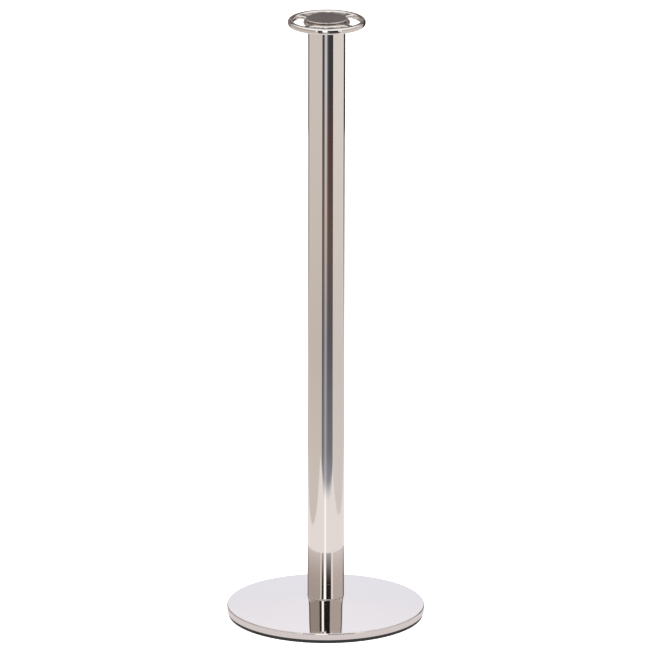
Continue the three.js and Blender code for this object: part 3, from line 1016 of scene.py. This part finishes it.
def lay(base, *cards):
    """Starts with one colour everywhere and lays each card's colour where its mask is true."""
    for mask, colour in cards:
        base = np.where(mask[..., None], colour, base)
    return base


def between(value, low, high):
    """Where the value is at least low and below high."""
    return (value >= low) & (value < high)


def fade(value, stops):
    """Blends colours along a value. stops: pairs of value and hex colour."""
    places = [place for place, _ in stops]
    colours = np.array([linear(colour)[:3] for _, colour in stops])
    return np.stack([np.interp(value, places, colours[:, band]) for band in range(3)], axis=-1)


def plain(colour):
    """One hex colour as linear red, green and blue."""
    return np.array(linear(colour)[:3])


def light_line(direction, width):
    """A soft light line just left of the camera: e to the minus square of the angle over the width."""
    return np.exp(-(((direction + 3.8) / width) ** 2))[..., None]


# %% [markdown]
# ### The floor's colours
# The tube looks down at the floor, and the further up a point lies on the tube, the further out on the
# floor it looks. So the floor's colours along a direction become the tube's colours from foot to head.
# On both sides the floor is a warm, light grey that darkens at the back. In front lies a dark stretch with
# a soft light line in it, and close to the post a pale sheet.


# %% Colour the floor
def floor_colour(distance, direction):
    """Colour of the floor at a distance in metres and at an angle in degrees to the camera's right."""
    aside = distance * np.sin(np.radians(direction))
    ahead = distance * np.cos(np.radians(direction))
    left = fade(distance, [(0.8, "CFC8C2"), (1.5, "C8BFB7"), (2.4, "CEC6BF"), (3.3, "D1CAC4")])
    right = fade(distance, [(0.8, "D6CFCC"), (1.5, "D3CBC8"), (2.4, "D8D2CF"), (3.3, "DED8D3")])
    left_back = fade(distance, [(1.5, "C8BFB7"), (2.2, "9A9490"), (3.3, "8A8480")])
    right_back = fade(distance, [(1.5, "CFC9C6"), (2.2, "8F8886"), (3.0, "463C3B"), (3.3, "3A3332")])
    dark = fade(distance, [
        (0.7, "9A9CA4"), (0.95, "74757D"), (1.6, "59595F"), (2.2, "62504B"), (2.9, "553F3B"),
        (3.3, "3C3A3E"),
    ])
    light = fade(distance, [
        (0.7, "C4C4C9"), (0.95, "A8A6AB"), (1.6, "AAA8AD"), (2.4, "CCC3C2"), (3.3, "D6D3D8"),
    ])
    pale = plain("EAE4E4")
    sheet = pale + light_line(direction, 4.5) * (1.12 * plain("FFFFFF") - pale) + 0 * left
    beside = lay(
        np.where(direction[..., None] < 0, left, right),
        (between(direction, -180, -132), left_back),
        (between(direction, 131, 181), right_back),
        (between(aside, -0.53, 0.58) & (np.abs(ahead) < 0.77), sheet),
    )
    stripes = dark + light_line(direction, 8.2) * (light - dark)
    near_end = 0.68 + 0.13 * ((direction - 8) / 33) ** 4
    share = np.clip((distance - near_end) / 0.1, 0, 1)[..., None]
    in_front = sheet * (1 - share) + stripes * share
    return lay(
        beside,
        (between(direction, -26, 41.5), in_front),
        (distance < mirror_start, plain("D9D2D4")),
    )


# %% [markdown]
# ### The colours of the cards, the wall and the ceiling
# The head's round rim looks at everything in front of the post, and so does the foot of the tube, by way
# of the glossy sheet on the floor. Both show the same cards: a white one between two dark ones, and then a
# light one on each side.


# %% Colour the cards, the wall and the ceiling
def card_colour(height, direction):
    """The cards on stands in front: dark, white and black, a light one further out on each side, and
    plain brown screens beyond them."""
    return lay(
        np.where(direction[..., None] < 0, plain("B3A9A4"), plain("C3BAB8")) + 0 * height[..., None],
        (between(direction, -33, -26), plain("F2E9E2")),
        (between(direction, -26, -12), plain("3C3838")),
        (between(direction, -12, 2), 1.3 * plain("FFFFFF")),
        (between(direction, 3, 33), plain("232325")),
        (between(direction, 34, 45), plain("F6EDE4")),
    )


def strip_colour(height, direction):
    """Cards higher up and further to the left, which only the cover's image of the tube shows."""
    return lay(
        np.where(direction[..., None] < 0, plain("A29892"), plain("BCB3B0")) + 0 * height[..., None],
        (between(direction, -42, -26), plain("3A302F")),
        (between(direction, -26, -12), 1.3 * plain("FFFFFF")),
        (between(direction, -12, 29), plain("231F1E")),
        (np.abs(direction) > 128, plain("6A5F5E")),
    )


def wall_colour(height, direction):
    """Colour of the wall at a height in metres and a direction in degrees."""
    return lay(
        card_colour(height, direction),
        ((height > 2.6), plain("F6F4F3")),
        (between(direction, -180, -134), plain("857D78")),
        (between(direction, 134, 181), plain("403735")),
        (np.abs(direction) > 165, plain("8F8986")),
        ((height > 2.6) & (np.abs(direction) >= 134), plain("6E6867")),
    )


def ceiling_colour(distance, direction):
    """A broad soft light overhead, a little dimmer in the middle, and dark at the back."""
    light = fade(distance, [(0, "B9B6B9"), (0.5, "D2CFD2"), (1.0, "F4F2F3"), (1.5, "FFFFFF")])
    light = light + 0 * direction[..., None]
    back = fade(distance, [(1.5, "FFFFFF"), (2.2, "8B8584"), (3.0, "6E6867")]) + 0 * light
    return lay(light, ((distance > 1.5) & (np.abs(direction) >= 134), back))


# %% [markdown]
# ### Building the room
# Each part of the room is a grid of faces, one degree wide, with one colour stored on each face. The
# material does nothing but glow with that stored colour.


# %% Build the room
def glowing(name, strength):
    """A material that glows with the colour stored on each face."""
    made = bpy.data.materials.new(name)
    made.use_nodes = True
    made.node_tree.nodes.clear()
    made.cycles.emission_sampling = "NONE"
    stored = node(made.node_tree, "ShaderNodeAttribute", attribute_name="glow")
    glow = node(
        made.node_tree, "ShaderNodeEmission", {"Color": stored.outputs["Color"], "Strength": strength}
    )
    node(made.node_tree, "ShaderNodeOutputMaterial", {"Surface": glow.outputs["Emission"]})
    return made


def studio_piece(name, points, faces, material, hidden_from=("camera", "shadow")):
    """A mesh in metres that belongs to the studio, hidden from some kinds of rays."""
    mesh = bpy.data.meshes.new(name)
    mesh.from_pydata(np.asarray(points, float).reshape(-1, 3).tolist(), [], faces)
    mesh.materials.append(material)
    made = show(name, mesh)
    for rays in hidden_from:
        setattr(made, f"visible_{rays}", False)
    return made


def room_part(name, distance, height, colour_of, measure, reach_round=180):
    """A strip of the room: rows of a distance and a height each, one column for every degree."""
    direction = np.arange(-reach_round, reach_round + 1)
    angle = np.radians(direction)[None, :]
    flat = (
        distance[:, None, None] * np.cos(angle)[..., None] * towards_camera
        + distance[:, None, None] * np.sin(angle)[..., None] * to_the_right
    )
    level = np.broadcast_to(height[:, None, None], flat.shape[:2] + (1,))
    faces = grid_faces(len(distance), len(direction), rows_close=False, columns_close=False)
    made = studio_piece(name, np.concatenate([flat, level], axis=-1), faces.tolist(), room_glow)
    row_middle = (measure[1:] + measure[:-1]) / 2
    column_middle = direction[:-1] + 0.5
    colours = colour_of(row_middle[:, None] + 0 * column_middle, 0 * row_middle[:, None] + column_middle)
    stored = made.data.attributes.new("glow", "FLOAT_COLOR", "CORNER")
    with_alpha = np.concatenate([colours, np.ones(colours.shape[:2] + (1,))], axis=-1).reshape(-1, 1, 4)
    stored.data.foreach_set("color", np.repeat(with_alpha, 4, axis=1).ravel().astype(np.float32))
    print(f"{name}: {len(faces)} faces")


room_glow = glowing("studio_room_glow", 1.12)
steps_out = np.concatenate([
    np.linspace(0.14, mirror_start, 3), np.linspace(0.23, 1.2, 80), np.linspace(1.25, room_radius, 60)
])
room_part("room_floor", steps_out, 0 * steps_out - 0.002, floor_colour, steps_out)
steps_up = np.linspace(0, room_height, 46)
room_part("room_wall", 0 * steps_up + room_radius, steps_up, wall_colour, steps_up)
for name, low, high in (("room_cards_low", 0.64, 0.89), ("room_cards_high", 1.14, 1.64)):
    card_steps = np.linspace(low, high, 3)
    room_part(name, 0 * card_steps + 1.6, card_steps, card_colour, card_steps, 125)
strip_steps = np.linspace(1.6, 2.15, 3)
room_part("room_strip", 0 * strip_steps + 3.0, strip_steps, strip_colour, strip_steps, 150)
steps_in = np.linspace(room_radius, 0.001, 60)
room_part("room_ceiling", steps_in, 0 * steps_in + room_height, ceiling_colour, steps_in)

# %% [markdown]
# ### The sheet under the foot, the backdrop and the pale floor
# Right around the foot lies a sheet of glossy acrylic, which is why the lowest part of the tube shows the
# wall's stripes again and not the floor's. Behind the post hangs a lilac-white backdrop that the top
# of the foot reflects. The floor in the picture is plain and pale, and lit so evenly that it turns white.


# %% Colour the backdrop's cloth
def backdrop_cloth():
    """Lilac-white, a little brighter from the floor up."""
    made = bpy.data.materials.new("lilac_white_backdrop")
    made.use_nodes = True
    tree = made.node_tree
    tree.nodes.clear()
    place = node(tree, "ShaderNodeTexCoord").outputs["Object"]
    height = node(tree, "ShaderNodeSeparateXYZ", {"Vector": place}).outputs["Z"]
    share = node(tree, "ShaderNodeMapRange", {"Value": height, "From Min": 0.03, "From Max": 0.42})
    tint = node(
        tree, "ShaderNodeMix",
        {"Factor": share.outputs["Result"], "A": linear("E5E5EE"), "B": linear("F2F1F9")},
        data_type="RGBA",
    )
    glow = node(tree, "ShaderNodeEmission", {"Color": tint.outputs["Result"], "Strength": 1.12})
    node(tree, "ShaderNodeOutputMaterial", {"Surface": glow.outputs["Emission"]})
    return made


# %% [markdown]
# The acrylic is a ring round the foot. It reflects fully at its inner edge, and further out more and more
# of a pale sheet beneath it shows, so the stripes it reflects fade away on the tube.


# %% Lay the acrylic round the foot
def acrylic():
    """A mirror that lets more of the pale sheet below it through, the further it is from the foot."""
    made, tree, shader, place = new_material("glossy_acrylic_sheet", "F2EDE8", 1.0, 0.0)
    far = node(tree, "ShaderNodeVectorMath", {0: place}, operation="LENGTH")
    share = node(
        tree, "ShaderNodeMapRange",
        {"Value": far.outputs["Value"], "From Min": mirror_start, "From Max": mirror_end, "To Max": 0.65},
    )
    curved = node(tree, "ShaderNodeMath", {0: share.outputs["Result"], 1: 1.6}, operation="POWER")
    pale = node(tree, "ShaderNodeEmission", {"Color": linear("E9E2E5"), "Strength": 1.12})
    both = node(
        tree, "ShaderNodeMixShader",
        {0: curved.outputs["Value"], 1: shader.outputs["BSDF"], 2: pale.outputs["Emission"]},
    )
    tree.links.new(both.outputs["Shader"], tree.nodes["Material Output"].inputs["Surface"])
    return made


angles = np.arange(0, 2 * math.pi, math.pi / 60)
disc = around(np.array([(mirror_start, -0.001), (mirror_end, -0.001)]), angles)
disc_faces = grid_faces(2, len(angles), rows_close=False).tolist()
studio_piece("acrylic_sheet", disc, disc_faces, acrylic(), ("camera", "shadow", "diffuse"))
print("acrylic from", mirror_start, "to", mirror_end, "m")

# %% [markdown]
# The backdrop hangs half a metre behind the post, where the picture doesn't show it, and is just wide and
# high enough to fill the cover's reflection. The pale floor in the picture glows a little, so that it turns
# out evenly white.

# %% Hang the backdrop and lay the pale floor
behind = 0.5
backdrop_half, backdrop_top = 0.28, 0.66
backdrop_middle = -behind * towards_camera
left_end = backdrop_middle - backdrop_half * to_the_right
right_end = backdrop_middle + backdrop_half * to_the_right
studio_piece(
    "backdrop",
    [(*left_end, 0), (*right_end, 0), (*right_end, backdrop_top), (*left_end, backdrop_top)],
    [(0, 1, 2, 3)], backdrop_cloth(),
)

pale_floor, _, pale_shader, _ = new_material("plain_pale_floor", "F4F3F2", 0.0, 0.9)
pale_shader.inputs["Specular IOR Level"].default_value = 0.0
pale_shader.inputs["Emission Color"].default_value = (1.0, 1.0, 1.0, 1.0)
pale_shader.inputs["Emission Strength"].default_value = 0.8
far = 40.0
studio_piece(
    "pale_floor", [(-far, -far, 0), (far, -far, 0), (far, far, 0), (-far, far, 0)],
    [(0, 1, 2, 3)], pale_floor, ("glossy",),
)
print("backdrop's corners:", left_end.round(3), right_end.round(3), "top:", backdrop_top)

# %% [markdown]
# ### Light, world and camera
# Two broad area lights light the dull pieces and the floor. They are hidden from reflections, which see
# the room instead. The camera stands far away with a long lens, so the post's sides stay parallel, and
# looks down by about sixteen degrees.


# %% Add the lights and the camera
def area_light(name, place, size, power):
    """A square soft light that points at the middle of the post."""
    lamp = bpy.data.lights.new(name, "AREA")
    lamp.size, lamp.energy = size, power
    made = show(name, lamp)
    direction = np.array([0, 0, 0.4]) - np.array(place)
    made.location = place
    made.rotation_mode = "QUATERNION"
    made.rotation_quaternion = Vector(direction).to_track_quat("-Z", "Y")
    made.visible_glossy = False


area_light("soft_light_above", (0.4, -0.6, 3.6), 3.0, 130)
area_light("soft_light_front", (-2.2, -3.0, 2.2), 2.0, 60)

world = bpy.data.worlds.new("plain_white_world")
world.use_nodes = True
world.node_tree.nodes["Background"].inputs["Color"].default_value = (1.0, 1.0, 1.0, 1.0)
world.node_tree.nodes["Background"].inputs["Strength"].default_value = 1.0
bpy.context.scene.world = world
bpy.context.scene.view_settings.view_transform = "Standard"

camera_elevation = math.radians(16.6)
camera_distance = 20.0
roll = math.radians(0.1)
aim = Vector((*(-0.0019 * to_the_right), 0.4878))
lens = bpy.data.cameras.new("camera")
lens.sensor_width = 36.0
lens.lens = 688.1
lens.clip_end = 100.0
camera = show("camera", lens)
level = math.cos(camera_elevation)
away = Vector((*(towards_camera * level), math.sin(camera_elevation)))
camera.location = aim + away * camera_distance
camera.rotation_mode = "QUATERNION"
camera.rotation_quaternion = (-away).to_track_quat("-Z", "Y") @ Quaternion((0, 0, 1), roll)
bpy.context.scene.camera = camera
print("camera at", [round(v, 3) for v in camera.location])
